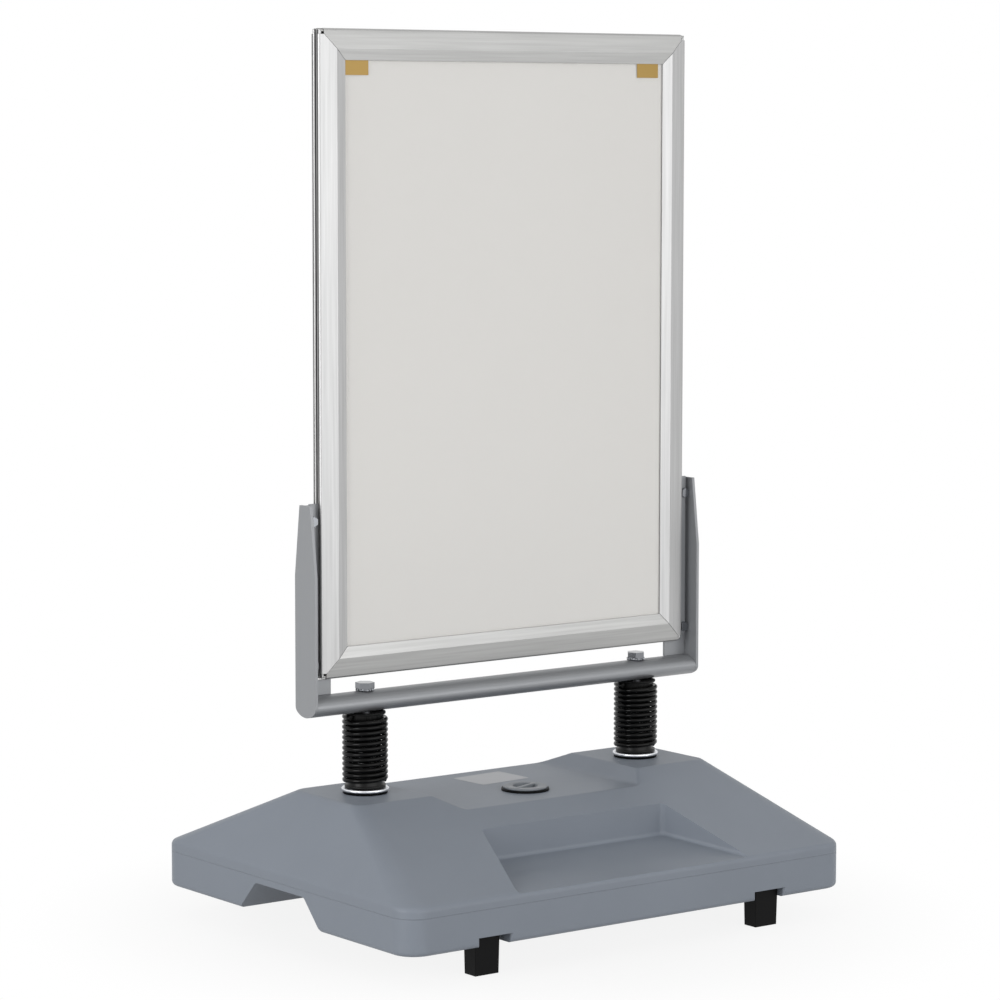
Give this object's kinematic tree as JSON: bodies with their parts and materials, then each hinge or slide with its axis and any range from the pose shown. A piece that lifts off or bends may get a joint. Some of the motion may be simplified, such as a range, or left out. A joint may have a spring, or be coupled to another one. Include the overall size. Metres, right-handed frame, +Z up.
{
  "type": "water base pavement sign",
  "caption": "Free-standing two-sided poster sign: a portrait snap frame in brackets on an oval beam, carried by coil springs on a hipped water tank with feet.",
  "frame": {"origin": "centre of the bounding box on the floor", "axes": "+Z up, +X along the sign to its right as seen from the front, the front faces -Y"},
  "size_m": [0.793, 0.621, 1.29],
  "materials": {
    "tank_plastic": "fine moulded grain",
    "cap_plastic": "smooth moulded",
    "black_rubber": "matt",
    "zinc_steel": "satin grey coat",
    "bright_bolts": "bright zinc",
    "brass_bushes": "turned",
    "ring_metal": "turned",
    "black_plugs": "moulded",
    "black_springs": "gloss black coat",
    "anodised": "satin anodised",
    "spring_steel": "bright strip",
    "backing_plastic": "sheet",
    "poster_paper": "plain paper",
    "clear_sheet": "clear sheet",
    "gold_tabs": "gold foil tape"
  },
  "bodies": {
    "base": {"tank": "tank_plastic", "tank_bushes": "brass_bushes", "foot_front_left": "black_rubber", "foot_front_right": "black_rubber", "foot_rear_left": "black_rubber", "foot_rear_right": "black_rubber", "foot_screws": "zinc_steel", "pad_rubbers": "black_rubber", "seat_rings": "ring_metal", "base_bolts": "zinc_steel", "lower_plug_left": "black_plugs", "lower_plug_right": "black_plugs", "spring_left": "black_springs", "spring_right": "black_springs"},
    "cap_ring": {"cap_gasket": "black_rubber"},
    "cap": {"filler_cap": "cap_plastic"},
    "frame": {"upper_plug_left": "black_plugs", "upper_plug_right": "black_plugs", "crossbeam": "zinc_steel", "lock_washer_left": "bright_bolts", "lock_washer_right": "bright_bolts", "beam_bolt_left": "bright_bolts", "beam_bolt_right": "bright_bolts", "side_plate_left": "zinc_steel", "side_plate_right": "zinc_steel", "web_left": "zinc_steel", "web_right": "zinc_steel", "fixing_strip_left": "zinc_steel", "fixing_strip_right": "zinc_steel", "bracket_bolts": "bright_bolts", "bracket_nuts": "zinc_steel", "strip_screws": "zinc_steel", "carrier_top": "anodised", "carrier_bottom": "anodised", "carrier_left": "anodised", "carrier_right": "anodised", "corner_keys": "zinc_steel", "rail_clips_front": "spring_steel", "rail_clips_rear": "spring_steel", "backing_front": "backing_plastic", "backing_rear": "backing_plastic", "poster_front": "poster_paper", "poster_rear": "poster_paper", "cover_front": "clear_sheet", "cover_rear": "clear_sheet", "cover_tabs_front": "gold_tabs", "cover_tabs_rear": "gold_tabs"},
    "rail_front_top": {"rail_front_top": "anodised"},
    "rail_front_bottom": {"rail_front_bottom": "anodised"},
    "rail_front_left": {"rail_front_left": "anodised"},
    "rail_front_right": {"rail_front_right": "anodised"},
    "rail_rear_top": {"rail_rear_top": "anodised"},
    "rail_rear_bottom": {"rail_rear_bottom": "anodised"},
    "rail_rear_left": {"rail_rear_left": "anodised"},
    "rail_rear_right": {"rail_rear_right": "anodised"}
  },
  "joints": [
    {"name": "sway", "type": "hinge", "parent": "base", "child": "frame", "pos_m": [0, 0, 0.271], "axis": [1, 0, 0], "range_deg": [-15, 15], "stiffness_Nm_per_rad": 250, "deforming": ["spring_left", "spring_right"]},
    {"name": "cap_lift", "type": "slide", "parent": "base", "child": "cap_ring", "axis": [0, 0, 1], "range_m": [0, 0.0125]},
    {"name": "cap_turn", "type": "hinge", "parent": "cap_ring", "child": "cap", "pos_m": [0.005, -0.045, 0.194], "axis": [0, 0, 1], "range_deg": [0, 1080]},
    {"name": "open_front_top", "type": "hinge", "parent": "frame", "child": "rail_front_top", "pos_m": [0, -0.007, 1.2864], "axis": [-1, 0, 0], "range_deg": [0, 90]},
    {"name": "open_front_bottom", "type": "hinge", "parent": "frame", "child": "rail_front_bottom", "pos_m": [0, -0.007, 0.3826], "axis": [1, 0, 0], "range_deg": [0, 90]},
    {"name": "open_front_left", "type": "hinge", "parent": "frame", "child": "rail_front_left", "pos_m": [-0.3264, -0.007, 0.8345], "axis": [0, 0, -1], "range_deg": [0, 90]},
    {"name": "open_front_right", "type": "hinge", "parent": "frame", "child": "rail_front_right", "pos_m": [0.3264, -0.007, 0.8345], "axis": [0, 0, 1], "range_deg": [0, 90]},
    {"name": "open_rear_top", "type": "hinge", "parent": "frame", "child": "rail_rear_top", "pos_m": [0, 0.007, 1.2864], "axis": [1, 0, 0], "range_deg": [0, 90]},
    {"name": "open_rear_bottom", "type": "hinge", "parent": "frame", "child": "rail_rear_bottom", "pos_m": [0, 0.007, 0.3826], "axis": [-1, 0, 0], "range_deg": [0, 90]},
    {"name": "open_rear_left", "type": "hinge", "parent": "frame", "child": "rail_rear_left", "pos_m": [-0.3264, 0.007, 0.8345], "axis": [0, 0, 1], "range_deg": [0, 90]},
    {"name": "open_rear_right", "type": "hinge", "parent": "frame", "child": "rail_rear_right", "pos_m": [0.3264, 0.007, 0.8345], "axis": [0, 0, -1], "range_deg": [0, 90]}
  ],
  "couplings": [
    {"joint": "cap_lift", "follows": "cap_turn", "m_per_rad": 0.00063662}
  ]
}
